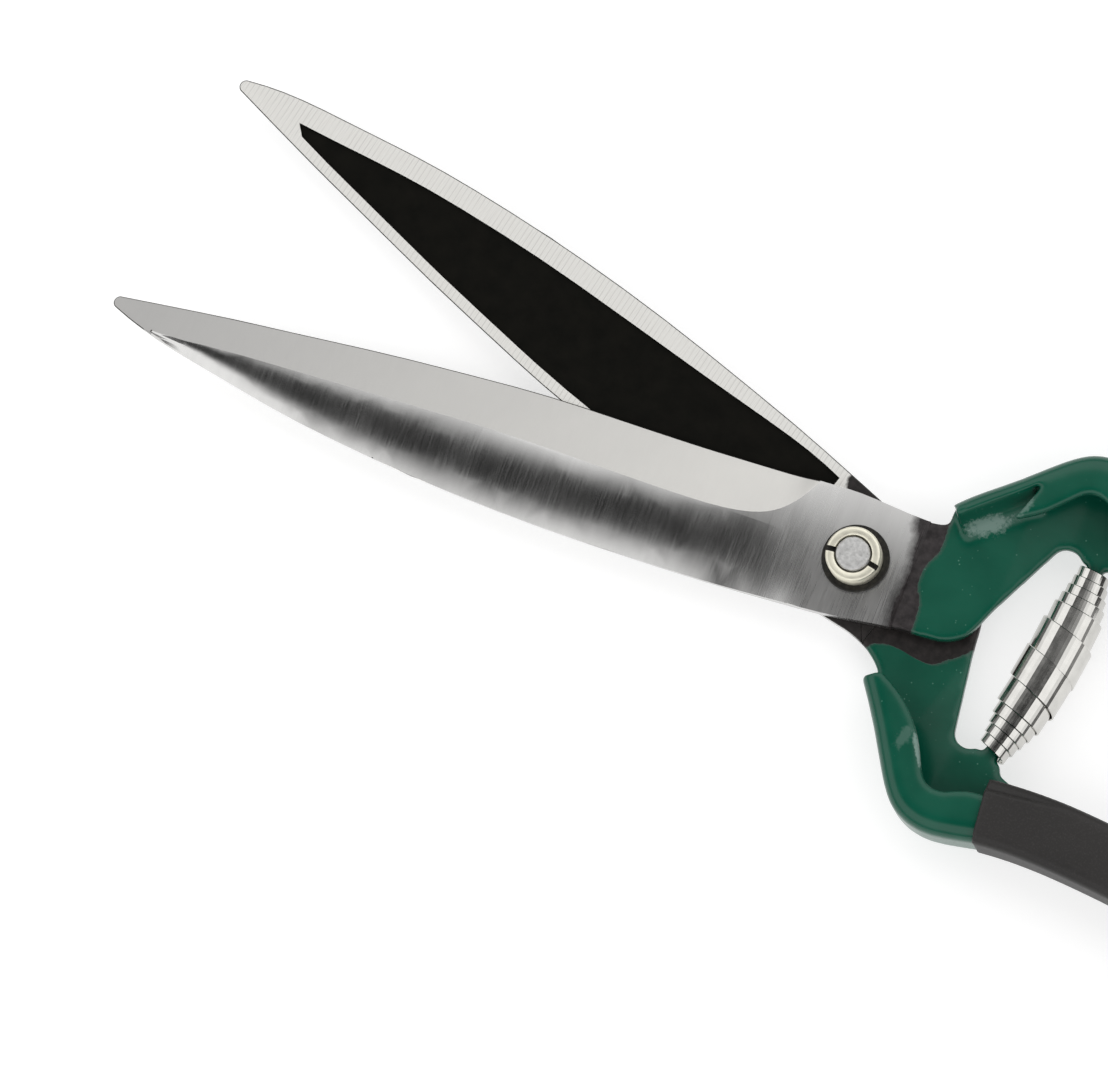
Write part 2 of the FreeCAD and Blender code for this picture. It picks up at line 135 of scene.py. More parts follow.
def remap(tree, value, low, high, toLow=0.0, toHigh=1.0):
    return addNode(tree, "ShaderNodeMapRange", {
        "Value": value, "From Min": low, "From Max": high, "To Min": toLow, "To Max": toHigh}).outputs[0]


def maths(tree, operation, first, second=0.0):
    return addNode(tree, "ShaderNodeMath", {0: first, 1: second}, operation=operation).outputs[0]


def mixColor(tree, factor, first, second, blend="MIX"):
    node = tree.nodes.new("ShaderNodeMix")
    node.data_type = "RGBA"
    node.blend_type = blend
    for socket, value in ((node.inputs[0], factor), (node.inputs[6], first), (node.inputs[7], second)):
        if isinstance(value, bpy.types.NodeSocket):
            tree.links.new(value, socket)
        elif socket == node.inputs[0]:
            socket.default_value = value
        else:
            socket.default_value = (*value, 1.0)
    return node.outputs[2]


def bumpOf(tree, height, strength, distance=0.0001, normal=None):
    node = addNode(tree, "ShaderNodeBump", {"Height": height, "Strength": strength, "Distance": distance})
    if normal:
        tree.links.new(normal, node.inputs["Normal"])
    return node.outputs[0]


def plug(tree, shader, **values):
    for key, value in values.items():
        socket = shader.inputs[key.replace("_", " ")]
        if isinstance(value, bpy.types.NodeSocket):
            tree.links.new(value, socket)
        elif isinstance(value, tuple):
            socket.default_value = (*value, 1.0)
        else:
            socket.default_value = value


def lineAcross(tree, across, points, low, high):
    curve = tree.nodes.new("ShaderNodeFloatCurve")
    xs = [x for x, y in points]
    base, span = min(xs), max(xs) - min(xs)
    share = remap(tree, across, low, high)
    tree.links.new(share, curve.inputs["Value"])
    path = curve.mapping.curves[0]
    ordered = sorted(points, key=lambda point: point[1])
    spots = [((y - low) / (high - low), (x - base) / span) for x, y in ordered]
    path.points[0].location = (0.0, spots[0][1])
    path.points[1].location = (1.0, spots[-1][1])
    for at, level in spots:
        path.points.new(at, level)
    curve.mapping.update()
    return remap(tree, curve.outputs[0], 0, 1, base, base + span)


bladeFinish = {
    "crownLight": (0.62, 0.615, 0.605),
    "crownDark": (0.565, 0.56, 0.552),
    "bevel": (0.585, 0.575, 0.55),
    "bevelTip": (0.375, 0.37, 0.362),
    "rim": (0.92, 0.91, 0.875),
    "hollow": (0.0030, 0.0029, 0.0020),
    # black scale colours per half: the front entries (1) are the scale's own tone, the darker rear entries (-1)
    # are painted shade for the rear half lying under the front half
    "scale": {1: (0.014, 0.0115, 0.012), -1: (0.0075, 0.0058, 0.0052)},
    "scaleWornRearShaded": {1: (0.050, 0.043, 0.044), -1: (0.026, 0.021, 0.020)},
    "scaleOutside": [(-10.0, 14.0), (-10.3, 11.3), (-11.4, 8.6), (-11.5, 5.6), (-12.2, 1.6), (-11.9, -2.0),
                     (-11.4, -6.9), (-11.6, -9.6), (-11.9, -12.0)],
    # where the inner face turns dark: black scale, and on the rear half also painted shade under the front half
    "scaleAndShadeInside": [(12.0, 15.0), (11.0, 8.0), (12.5, 0.0), (11.5, -8.0), (14.0, -15.0)],
    "crownTop": [(3.5, -14.0), (2.0, 6.0), (1.0, 20.0), (-5.8, 40.0), (-9.4, 62.0), (-9.2, 100.0),
                 (-9.0, 140.0), (-9.0, 186.0)],
    "crownBend": [(0.0034, -14.0), (0.0034, 36.0), (0.0044, 70.0), (0.0044, 186.0)],
}


# black scale tone of a half, the rear half's copy darkened as painted shade
def blackScaleRearShaded(tree, half, side):
    mottle = remap(tree, noiseOf(tree, half, 0.5, 5, 0.65), 0.35, 0.72)
    return mixColor(tree, mottle, bladeFinish["scale"][side], bladeFinish["scaleWornRearShaded"][side])


# mask of the black scale; on the inner face it also carries painted shade
def scaleAndShadeMask(tree, half, where, soft=1.6):
    spread = addNode(tree, "ShaderNodeSeparateXYZ", {0: half})
    line = lineAcross(tree, spread.outputs[1], bladeFinish[where], -16, 16)
    ragged = maths(tree, "MULTIPLY", maths(tree, "SUBTRACT", noiseOf(tree, half, 0.7, 4), 0.5), 1.8)
    ahead = maths(tree, "ADD", maths(tree, "SUBTRACT", line, spread.outputs[0]), ragged)
    return remap(tree, ahead, -soft, soft * 0.5)


def crownNormal(tree, half):
    spread = addNode(tree, "ShaderNodeSeparateXYZ", {0: half})
    top = lineAcross(tree, spread.outputs[0], bladeFinish["crownTop"], -14, 186)
    away = maths(tree, "SUBTRACT", spread.outputs[1], top)
    bend = lineAcross(tree, spread.outputs[0], bladeFinish["crownBend"], -14, 186)
    fall = maths(tree, "MULTIPLY", maths(tree, "MULTIPLY", away, away), maths(tree, "MULTIPLY", bend, -1.0))
    return bumpOf(tree, fall, 1.0, 0.001)   # a little rounder than it is ground


def crownSteel(side):
    material, tree, shader = startMaterial("crown_steel_" + ("front" if side > 0 else "rear"))
    half = halfCoords(tree, side)
    brush = noiseOf(tree, stretched(tree, half, (4.6, 0.12, 0.5), 2), 1.0, 3, 0.6)
    broad = noiseOf(tree, stretched(tree, half, (0.35, 0.06, 0.3)), 1.0, 3)
    cloud = noiseOf(tree, half, 0.09, 2)
    tone = mixColor(tree, remap(tree, broad, 0.3, 0.7), bladeFinish["crownDark"], bladeFinish["crownLight"])
    tone = mixColor(tree, remap(tree, brush, 0.35, 0.65, 0.0, 0.5), tone, bladeFinish["crownLight"])
    scale = scaleAndShadeMask(tree, half, "scaleOutside")
    tone = mixColor(tree, scale, tone, blackScaleRearShaded(tree, half, side))
    rough = remap(tree, brush, 0.3, 0.7, 0.15, 0.22)
    rough = maths(tree, "ADD", rough, remap(tree, cloud, 0.3, 0.7, -0.02, 0.02))
    spread = addNode(tree, "ShaderNodeSeparateXYZ", {0: half})
    rough = maths(tree, "ADD", rough, remap(tree, spread.outputs[0], 30, 5, 0.0, 0.11))
    bare = maths(tree, "SUBTRACT", 1.0, maths(tree, "MULTIPLY", maths(tree, "POWER", scale, 4), 0.7))
    plug(tree, shader, Base_Color=tone, Metallic=bare, Roughness=rough,
         Normal=bumpOf(tree, brush, 0.10, 0.00004, crownNormal(tree, half)))
    return material


def bevelSteel(side):
    material, tree, shader = startMaterial("bevel_steel_" + ("front" if side > 0 else "rear"))
    half = halfCoords(tree, side)
    brush = noiseOf(tree, stretched(tree, half, (7.0, 0.2, 0.5), -3), 1.0, 3, 0.6)
    cloud = noiseOf(tree, half, 0.06, 3)
    spread = addNode(tree, "ShaderNodeSeparateXYZ", {0: half})
    towardTip = remap(tree, spread.outputs[0], 30, 175)
    tone = mixColor(tree, towardTip, bladeFinish["bevel"], bladeFinish["bevelTip"])
    tone = mixColor(tree, remap(tree, cloud, 0.3, 0.7, 0.0, 0.15), tone, (0.40, 0.395, 0.39))
    plug(tree, shader, Base_Color=tone, Metallic=1.0, Roughness=remap(tree, brush, 0.3, 0.7, 0.34, 0.42),
         Normal=bumpOf(tree, brush, 0.12, 0.00003))
    return material


def rimSteel(side):
    material, tree, shader = startMaterial("rim_steel_" + ("front" if side > 0 else "rear"))
    half = halfCoords(tree, side)
    lines = addNode(tree, "ShaderNodeTexWave", {
        "Vector": stretched(tree, half, (1, 1, 1), -6), "Scale": 0.26, "Distortion": 0.6, "Detail": 2.0,
        "Detail Scale": 0.5}, wave_type="BANDS", bands_direction="X").outputs["Fac"]
    fine = noiseOf(tree, stretched(tree, half, (5.0, 0.15, 0.5), -6), 1.0, 3, 0.6)
    cloud = noiseOf(tree, half, 0.12, 3)
    dim = maths(tree, "MULTIPLY", remap(tree, lines, 0.15, 0.0), remap(tree, cloud, 0.35, 0.6, 0.2, 0.8))
    tone = mixColor(tree, dim, bladeFinish["rim"], (0.70, 0.69, 0.66))
    tone = mixColor(tree, remap(tree, fine, 0.4, 0.7, 0.0, 0.35), tone, (0.62, 0.60, 0.57))
    # black scale on the inner face, and on the rear half painted shade under the front half
    scale = scaleAndShadeMask(tree, half, "scaleAndShadeInside", 0.6)
    tone = mixColor(tree, scale, tone, blackScaleRearShaded(tree, half, side))
    bare = maths(tree, "SUBTRACT", 1.0, maths(tree, "MULTIPLY", scale, 0.7))
    plug(tree, shader, Base_Color=tone, Metallic=bare,
         Roughness=remap(tree, fine, 0.3, 0.7, 0.44, 0.54), Normal=bumpOf(tree, fine, 0.2, 0.00004))
    return material


# painted shade: the broken edges along the blade outline are near black, a dark line standing in for shade on
# the rounded edge
def paintedShadeEdge(side):
    material, tree, shader = startMaterial("edge_painted_shade_" + ("front" if side > 0 else "rear"))
    half = halfCoords(tree, side)
    worn = noiseOf(tree, half, 0.6, 3)
    tone = mixColor(tree, remap(tree, worn, 0.35, 0.7), (0.022, 0.021, 0.018), (0.048, 0.046, 0.042))
    plug(tree, shader, Base_Color=tone, Metallic=0.4, Roughness=remap(tree, worn, 0.3, 0.7, 0.42, 0.52),
         Normal=bumpOf(tree, worn, 0.1, 0.00004))
    return material


def hollowBlack():
    material, tree, shader = startMaterial("hollow_black")
    where = rowCoords(tree)
    mottle = noiseOf(tree, where, 0.25, 5, 0.6)
    fine = noiseOf(tree, where, 3.0, 4, 0.6)
    tone = mixColor(tree, remap(tree, mottle, 0.35, 0.7), bladeFinish["hollow"], (0.0055, 0.0050, 0.0036))
    plug(tree, shader, Base_Color=tone, Metallic=0.0, Roughness=remap(tree, mottle, 0.3, 0.7, 0.5, 0.62),
         Specular_IOR_Level=0.06, Normal=bumpOf(tree, fine, 0.15, 0.00005))
    return material


enamelFinish = {
    "green": (0.0012, 0.0820, 0.0480),
    "deep": (0.0010, 0.0700, 0.0410),
    "speck": (0.060, 0.19, 0.135),
    "paintStart": {1: [(-17.5, 14.6), (-17.7, 9.8), (-17.0, 6.6), (-15.7, 3.7), (-15.4, 1.1), (-16.8, -3.4),
                       (-17.7, -6.8), (-17.9, -11.8)],
                   -1: [(-14.0, 13.9), (-16.4, 11.4), (-20.2, 9.9), (-24.6, 9.3), (-28.5, 8.0), (-30.9, 4.9),
                        (-33.6, 0.3), (-34.4, -3.0)]},
    # painted highlights: pale streaks on the arms' flange, lip and fillet stand in for highlights on the enamel
    "paintedHighlight": (0.16, 0.25, 0.215),
    # from, to, half width, strength
    "highlightStreaks": {1: [((-20.6, 13.8, 5.5), (-32.4, 20.6, 5.5), 2.7, 0.8),
                 ((-21.6, 17.0, 11), (-34.5, 25.6, 11), 1.0, 0.6),
                 ((-32.4, 20.0, 10), (-34.6, 28.0, 11), 1.7, 0.5)],
             -1: [((-37.0, 23.4, 11), (-44.4, 29.6, 11), 0.85, 1.0),
                  ((-36.3, 29.6, 11.4), (-36.0, 22.6, 11.4), 1.7, 0.3)]},
}


# mask of one painted highlight streak
def highlightStreakMask(tree, half, start, end, wide, strength):
    start, end = Vector(start), Vector(end)
    middle, run = (start + end) / 2, end - start
    turn = math.degrees(math.atan2(run.y, run.x))
    near = addNode(tree, "ShaderNodeMapping", {"Vector": half, "Location": -middle}).outputs[0]
    near = stretched(tree, near, (1, 1, 1), -turn)
    near = stretched(tree, near, (2 / run.length, 1 / wide, 0.35))
    far = addNode(tree, "ShaderNodeVectorMath", {0: near}, operation="LENGTH").outputs["Value"]
    rough = noiseOf(tree, half, 0.9, 5, 0.7)
    far = maths(tree, "ADD", far, remap(tree, rough, 0.3, 0.7, -0.35, 0.35))
    return maths(tree, "MULTIPLY", remap(tree, far, 1.0, 0.55), strength)


def greenEnamel(side):
    material, tree, shader = startMaterial("green_enamel_" + ("front" if side > 0 else "rear"))
    half = halfCoords(tree, side)
    spread = addNode(tree, "ShaderNodeSeparateXYZ", {0: half})
    line = lineAcross(tree, spread.outputs[1], enamelFinish["paintStart"][side], -16, 18)
    ragged = maths(tree, "MULTIPLY", maths(tree, "SUBTRACT", noiseOf(tree, half, 1.1, 5, 0.65), 0.5), 1.3)
    ahead = maths(tree, "ADD", maths(tree, "SUBTRACT", line, spread.outputs[0]), ragged)
    paint = remap(tree, ahead, -0.12, 0.12)
    fringe = maths(tree, "MULTIPLY", remap(tree, ahead, 0.9, 0.0), 0.55)
    speckSeed = addNode(tree, "ShaderNodeTexVoronoi", {"Vector": half, "Scale": 0.55}).outputs["Distance"]
    speckShare = remap(tree, noiseOf(tree, half, 0.3, 2), 0.45, 0.6)
    specks = maths(tree, "MULTIPLY", remap(tree, speckSeed, 0.13, 0.07), speckShare)
    cloud = noiseOf(tree, half, 0.10, 3)
    green = mixColor(tree, remap(tree, cloud, 0.35, 0.65), enamelFinish["deep"], enamelFinish["green"])
    green = mixColor(tree, specks, green, enamelFinish["speck"])
    green = mixColor(tree, fringe, green, (0.055, 0.075, 0.065))
    # painted highlights laid over the green
    for paintedStreak in enamelFinish["highlightStreaks"][side]:
        green = mixColor(tree, highlightStreakMask(tree, half, *paintedStreak), green, enamelFinish["paintedHighlight"])
    tone = mixColor(tree, paint, blackScaleRearShaded(tree, half, side), green)
    peel = noiseOf(tree, half, 0.55, 3)
    height = maths(tree, "ADD", paint, maths(tree, "MULTIPLY", peel, 0.3))
    rough = remap(tree, paint, 0, 1, 0.46, 0.20)
    rough = maths(tree, "ADD", rough, remap(tree, cloud, 0.3, 0.7, 0.0, 0.06))
    plug(tree, shader, Base_Color=tone, Metallic=remap(tree, paint, 0, 1, 0.35, 0.0), Roughness=rough,
         Specular_IOR_Level=0.38, Normal=bumpOf(tree, height, 0.35, 0.00012))
    return material


def gripVinyl():
    material, tree, shader = startMaterial("grip_vinyl_soft")
    where = rowCoords(tree)
    grain = noiseOf(tree, where, 2.2, 5, 0.6)
    cloud = noiseOf(tree, where, 0.06, 3)
    tone = mixColor(tree, remap(tree, cloud, 0.3, 0.7), (0.018, 0.0165, 0.016), (0.024, 0.022, 0.021))
    tone = mixColor(tree, remap(tree, grain, 0.5, 0.75, 0.0, 0.25), tone, (0.075, 0.071, 0.068))
    plug(tree, shader, Base_Color=tone, Roughness=remap(tree, grain, 0.3, 0.7, 0.46, 0.56),
         Specular_IOR_Level=0.32, Normal=bumpOf(tree, grain, 0.18, 0.00008))
    return material


def brightPlating(name, warm, roughLow, roughHigh, grain):
    material, tree, shader = startMaterial(name)
    where = rowCoords(tree)
    streak = noiseOf(tree, where, grain, 4, 0.6)
    cloud = noiseOf(tree, where, 0.35, 4)
    tone = mixColor(tree, remap(tree, cloud, 0.35, 0.7), warm, tuple(part * 0.9 for part in warm))
    rough = remap(tree, streak, 0.3, 0.7, roughLow, roughHigh)
    plug(tree, shader, Base_Color=tone, Metallic=1.0, Roughness=rough,
         Normal=bumpOf(tree, streak, 0.06, 0.00004))
    return material


def boltSteel():
    material, tree, shader = startMaterial("bolt_peened")
    where = rowCoords(tree)
    dents = noiseOf(tree, where, 1.1, 5, 0.65)
    pits = addNode(tree, "ShaderNodeTexVoronoi", {"Vector": where, "Scale": 1.3}).outputs["Distance"]
    tone = mixColor(tree, remap(tree, dents, 0.3, 0.7), (0.40, 0.398, 0.39), (0.66, 0.655, 0.645))
    height = maths(tree, "ADD", dents, maths(tree, "MULTIPLY", pits, 0.5))
    plug(tree, shader, Base_Color=tone, Metallic=0.75, Roughness=remap(tree, dents, 0.3, 0.7, 0.42, 0.58),
         Normal=bumpOf(tree, height, 0.6, 0.00025))
    return material


# dark washer colour, also used as painted shade on the nut's slot walls
def darkWasherAndSlotShade():
    material, tree, shader = startMaterial("washer_dark_and_slot_shade")
    where = rowCoords(tree)
    worn = noiseOf(tree, where, 0.9, 4)
    tone = mixColor(tree, remap(tree, worn, 0.4, 0.7), (0.012, 0.011, 0.010), (0.030, 0.028, 0.022))
    plug(tree, shader, Base_Color=tone, Metallic=0.5, Roughness=remap(tree, worn, 0.3, 0.7, 0.36, 0.5),
         Normal=bumpOf(tree, worn, 0.2, 0.0001))
    return material


blade = {"seam": {1: -13.2, -1: -12.6}, "sharp": 7.0, "brokenEdge": 0.22, "wallRows": 6,
         "hollowLevels": (0.4, 1.0), "hollowFrom": 14, "bevelFrom": 8, "innerFlat": 0.98, "wallTilt": 0.3}


def looseCopy(nodeName, side):
    bm = bmesh.new()
    bm.from_mesh(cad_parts[nodeName].data)
    bmesh.ops.remove_doubles(bm, verts=bm.verts, dist=2e-7)
    bmesh.ops.transform(bm, matrix=halfPlace(side).inverted(), verts=bm.verts)
    if side > 0:
        bmesh.ops.reverse_faces(bm, faces=bm.faces)   # the mirror turned them
    return bm


def cutAt(bm, x, keepAbove):
    result = bmesh.ops.bisect_plane(
        bm, geom=bm.verts[:] + bm.edges[:] + bm.faces[:], dist=1e-5, plane_co=(x, 0, 0), plane_no=(1, 0, 0),
        clear_inner=keepAbove, clear_outer=not keepAbove)
    rim = [edge for edge in result["geom_cut"] if isinstance(edge, bmesh.types.BMEdge)]
    bmesh.ops.triangle_fill(bm, edges=rim, use_beauty=True)
    bmesh.ops.recalc_face_normals(bm, faces=bm.faces)


def makeBlade(nodeName, side, body):
    bm = looseCopy(nodeName, side)
    cutAt(bm, blade["seam"][side], True)
    for face in bm.faces:
        up = face.normal.z * side
        centre = face.calc_center_median()
        if up < -blade["innerFlat"]:
            inHollow = blade["hollowLevels"][0] < centre.z * side < blade["hollowLevels"][1]
            face.material_index = 3 if inHollow and centre.x > blade["hollowFrom"] else 2
        elif up > 0.5 and face.normal.y > 0.07 and centre.x > blade["bevelFrom"]:
            face.material_index = 1
        else:
            face.material_index = 0
    for row in range(blade["wallRows"]):   # the hollow's walls, one row of faces after another
        for face in bm.faces:
            if abs(face.normal.z) < blade["wallTilt"] and any(
                    other.material_index == 3 for edge in face.edges for other in edge.link_faces):
                face.material_index = 3
    walls = {face for face in bm.faces if face.material_index == 0 and abs(face.normal.z) < blade["wallTilt"]}
    outline = [edge for edge in bm.edges if len(edge.link_faces) == 2
               and any(face.material_index in (1, 2) for face in edge.link_faces)
               and any(face in walls for face in edge.link_faces)]
    # the broken edge gets material 4, near-black painted shade along the outline
    bmesh.ops.bevel(bm, geom=outline, offset=blade["brokenEdge"], segments=1, profile=0.5, affect="EDGES",
                    material=4, clamp_overlap=False)
    smoothFaces(bm, blade["sharp"])
    for edge in bm.edges:
        if len({face.material_index for face in edge.link_faces}) > 1:
            edge.smooth = False
    bmesh.ops.transform(bm, matrix=halfPlace(side), verts=bm.verts)
    if side > 0:
        bmesh.ops.reverse_faces(bm, faces=bm.faces)
    piece = newPiece(body + "_blade", bm, body, "ground_steel", nodeName)
    for material in (crownSteel(side), bevelSteel(side), rimSteel(side), hollowBlack(), paintedShadeEdge(side)):
        piece.data.materials.append(material)


makeBlade("rear_half", -1, "rear")
makeBlade("front_half", 1, "front")
print("blades done")

arm = {
    "overlap": 6,   # cut longer first, so that the smoothing doesn't round the seam
    "voxel": 0.45,
    "smoothing": 10,
    "fillet": {"outward": (-0.65, -0.76),
               "run": [(-19.4, 16.4), (-22.4, 18.9), (-25.6, 21.6), (-29.4, 24.8), (-33.5, 28.4)],
               "section": [(-1.2, 3.0), (5.4, 3.0), (5.0, 4.0), (3.7, 4.6), (2.2, 5.9), (1.1, 8.0), (0.3, 10.6),
                           (-1.2, 11.2)]},
}


def remeshed(bm, voxel, smoothing):
    mesh = bpy.data.meshes.new("remesh")
    bm.to_mesh(mesh)
    bm.free()
    worker = bpy.data.objects.new("remesh", mesh)
    bpy.context.collection.objects.link(worker)
    remesher = worker.modifiers.new("voxels", "REMESH")
    remesher.mode = "VOXEL"
    remesher.voxel_size = voxel
    remesher.adaptivity = 0.0
    shape = worker.evaluated_get(bpy.context.evaluated_depsgraph_get())
    result = bmesh.new()
    result.from_mesh(shape.to_mesh())
    shape.to_mesh_clear()
    bpy.data.objects.remove(worker)
    bpy.data.meshes.remove(mesh)
    for again in range(smoothing):
        bmesh.ops.smooth_vert(result, verts=result.verts, factor=0.5, use_axis_x=True, use_axis_y=True,
                              use_axis_z=True)
    return result


def addFillet(bm):
    foot = arm["fillet"]
    corner = bm.verts.layers.int.new("corner")
    made = [bm.verts.new((*foot["run"][0], 0)) for spot in foot["section"]]
    for index, vert in enumerate(made):
        vert[corner] = index
    end = [bm.faces.new(made)]
    for step, (x, y) in enumerate(foot["run"]):
        if step:
            grown = bmesh.ops.extrude_face_region(bm, geom=end)["geom"]
            end = [item for item in grown if isinstance(item, bmesh.types.BMFace)]
        for vert in end[0].verts:
            out, up = foot["section"][vert[corner]]
            vert.co = (x + out * foot["outward"][0], y + out * foot["outward"][1], up)


def makeArm(nodeName, side, body):
    bm = looseCopy(nodeName, side)
    cutAt(bm, blade["seam"][side] + arm["overlap"], False)
    if side > 0:
        addFillet(bm)
    bm = remeshed(bm, arm["voxel"], arm["smoothing"])
    cutAt(bm, blade["seam"][side], False)
    for face in bm.faces:
        face.smooth = True
    bmesh.ops.transform(bm, matrix=halfPlace(side), verts=bm.verts)
    if side > 0:
        bmesh.ops.reverse_faces(bm, faces=bm.faces)
    piece = newPiece(body + "_arm", bm, body, "green_enamel", nodeName)
    piece.data.materials.append(greenEnamel(side))


makeArm("rear_half", -1, "rear")
makeArm("front_half", 1, "front")
print("arms done")

grip = {"voxel": 0.5, "smoothing": 4, "grooveStart": (-58.6, 24.6), "grooveEnd": (-77.0, 16.6),
        "grooveDepth": 1.5, "grooveAbove": 6, "grooveRise": 1.5, "grooveSide": 0.8}
vinyl = gripVinyl()


def makeGrip(nodeName, side, body):
    bm = looseCopy(nodeName, side)
    bm = remeshed(bm, grip["voxel"], grip["smoothing"])
    start, end = Vector(grip["grooveStart"]), Vector(grip["grooveEnd"])
    along = (end - start).normalized()
    for vert in bm.verts:
        if vert.co.z > grip["grooveAbove"]:   # the vinyl follows the open side of the channel at its mouth
            offset = Vector((vert.co.x, vert.co.y)) - start
            share = 1 - offset.dot(along) / (end - start).length
            inward = along.cross(offset)
            if share > 0 and inward > 0:
                reach = min(1, share * grip["grooveRise"]) * min(1, inward / grip["grooveSide"])
                vert.co.z -= grip["grooveDepth"] * reach
    for face in bm.faces:
        face.smooth = True
    bmesh.ops.transform(bm, matrix=halfPlace(side), verts=bm.verts)
    if side > 0:
        bmesh.ops.reverse_faces(bm, faces=bm.faces)
    piece = newPiece(body + "_grip_sleeve", bm, body, "grip_vinyl", nodeName)
    piece.data.materials.append(vinyl)


makeGrip("rear_grip", -1, "rear")
makeGrip("front_grip", 1, "front")
print("grips done")

pivot = {
    "boltProfile": [(0, 0.25), (5.5, 0.0), (7.2, 0.0), (8.0, 0.35), (8.2, 1.0), (8.2, 3.7), (7.9, 4.0),
                    (4.8, 4.0), (4.8, 11.3), (4.0, 11.4), (4.0, 17.7), (3.85, 18.1), (3.5, 18.32),
                    (3.0, 18.42), (2.3, 18.44), (1.5, 18.45), (0.7, 18.45), (0, 18.45)],
    "nutProfile": [(4.3, 12.4), (6.2, 12.4), (6.42, 12.6), (6.42, 17.35), (6.3, 17.68), (6.05, 17.86),
                   (5.7, 17.92), (4.75, 17.93), (4.45, 17.8), (4.3, 17.5)],
    "washerProfile": [(4.25, 11.4), (7.7, 11.38), (7.88, 11.55), (7.88, 12.1), (7.6, 12.34), (4.25, 12.34)],
    "slots": (15.0, 178.0),
    "slotWidth": 1.25,
    "slotLength": 4.0,
    "slotAt": 5.6,   # middle of a slot to the axis
    "nutTop": 17.93,
    "slotWalls": (16, 17.85),
    "peenedAbove": 18.0,
    "slotDepth": 1.5,
    "nutEdge": 0.12,
    "sharp": 35,
}


def lathe(profile, closed, segments=96):
    bm = bmesh.new()
    verts = [bm.verts.new((radius, 0, level)) for radius, level in profile]
    edges = [bm.edges.new(pair) for pair in zip(verts, verts[1:])]
    if closed:
        edges.append(bm.edges.new((verts[-1], verts[0])))
    bmesh.ops.spin(bm, geom=verts + edges, cent=(0, 0, 0), axis=(0, 0, 1), angle=2 * math.pi,
                   steps=segments, use_merge=True, use_normal_flip=False, use_duplicate=False)
    bmesh.ops.remove_doubles(bm, verts=bm.verts, dist=1e-4)
    bmesh.ops.recalc_face_normals(bm, faces=bm.faces)
    return bm


def toMetres(bm):
    bmesh.ops.transform(bm, matrix=Matrix.Scale(0.001, 4), verts=bm.verts)


def makeBolt():
    bm = lathe(pivot["boltProfile"], False)
    for vert in bm.verts:
        if vert.co.z > pivot["peenedAbove"]:   # hammered over
            out = 1 + 0.05 * noise.noise(vert.co * 0.9)
            vert.co = (vert.co.x * out, vert.co.y * out, vert.co.z - 0.25 * abs(noise.noise(vert.co * 0.8)))
    smoothFaces(bm, 40)
    toMetres(bm)
    piece = newPiece("bolt", bm, "rear", "bolt_steel", "pivot_bolt")
    piece.data.materials.append(boltSteel())


def makeNut(washerAndSlotShade):
    bm = lathe(pivot["nutProfile"], True)
    piece = newPiece("slotted_nut", bm, "rear", "bright_plating", "pivot_nut")
    cutter = bmesh.new()
    for angle in pivot["slots"]:
        box = bmesh.ops.create_cube(cutter, size=1)["verts"]
        size = (pivot["slotLength"], pivot["slotWidth"], 2 * pivot["slotDepth"])
        bmesh.ops.scale(cutter, vec=size, verts=box)
        bmesh.ops.translate(cutter, vec=(pivot["slotAt"], 0, pivot["nutTop"]), verts=box)
        turned = Matrix.Rotation(math.radians(angle), 3, "Z")
        bmesh.ops.rotate(cutter, cent=(0, 0, 0), matrix=turned, verts=box)
    cutMesh = bpy.data.meshes.new("slots")
    cutter.to_mesh(cutMesh)
    cutter.free()
    cutObject = bpy.data.objects.new("slots", cutMesh)
    bpy.context.collection.objects.link(cutObject)
    saw = piece.modifiers.new("slots", "BOOLEAN")
    saw.operation = "DIFFERENCE"
    saw.object = cutObject
    rounding = piece.modifiers.new("edges", "BEVEL")
    rounding.width = pivot["nutEdge"]
    rounding.segments = 2
    rounding.limit_method = "ANGLE"
    rounding.angle_limit = math.radians(pivot["sharp"])
    done = bpy.data.meshes.new_from_object(piece.evaluated_get(bpy.context.evaluated_depsgraph_get()))
    piece.modifiers.clear()
    bpy.data.objects.remove(cutObject)
    bm = bmesh.new()
    bm.from_mesh(done)
    for face in bm.faces:
        centre = face.calc_center_median()
        radial = Vector((centre.x, centre.y, 0)).normalized()
        inSlot = pivot["slotWalls"][0] < centre.z < pivot["slotWalls"][1]
        if inSlot and abs(face.normal.dot(radial)) < 0.4:
            face.material_index = 1   # painted shade down in the slots: the slot walls get the dark washer material
    smoothFaces(bm, pivot["sharp"])
    toMetres(bm)
    bm.to_mesh(piece.data)
    bm.free()
    piece.data.materials.append(brightPlating("nut_plating", (0.85, 0.82, 0.69), 0.38, 0.48, 0.6))
    piece.data.materials.append(washerAndSlotShade)


def makeWasher(washerAndSlotShade):
    bm = lathe(pivot["washerProfile"], True)
    smoothFaces(bm, pivot["sharp"])
    toMetres(bm)
    piece = newPiece("dark_washer_ring", bm, "rear", "dark_washer", "nut_washer")
    piece.data.materials.append(washerAndSlotShade)


washerAndSlotShade = darkWasherAndSlotShade()
makeBolt()
makeNut(washerAndSlotShade)
makeWasher(washerAndSlotShade)
print("pivot done")

spring = {
    "seat": (-48.95, 25.0),
    "middle": (-52.97, 0.0),
    "level": 7.65,
    "width": 8.5,
    "thick": 0.45,
    "centres": [4.3, 6.7, 9.1, 11.5, 13.9, 17.6, 25.1],
    "radii": [3.6, 4.1, 4.65, 5.25, 5.9, 6.7, 7.4],
    "steps": 48,
    "startAngle": -70,
}


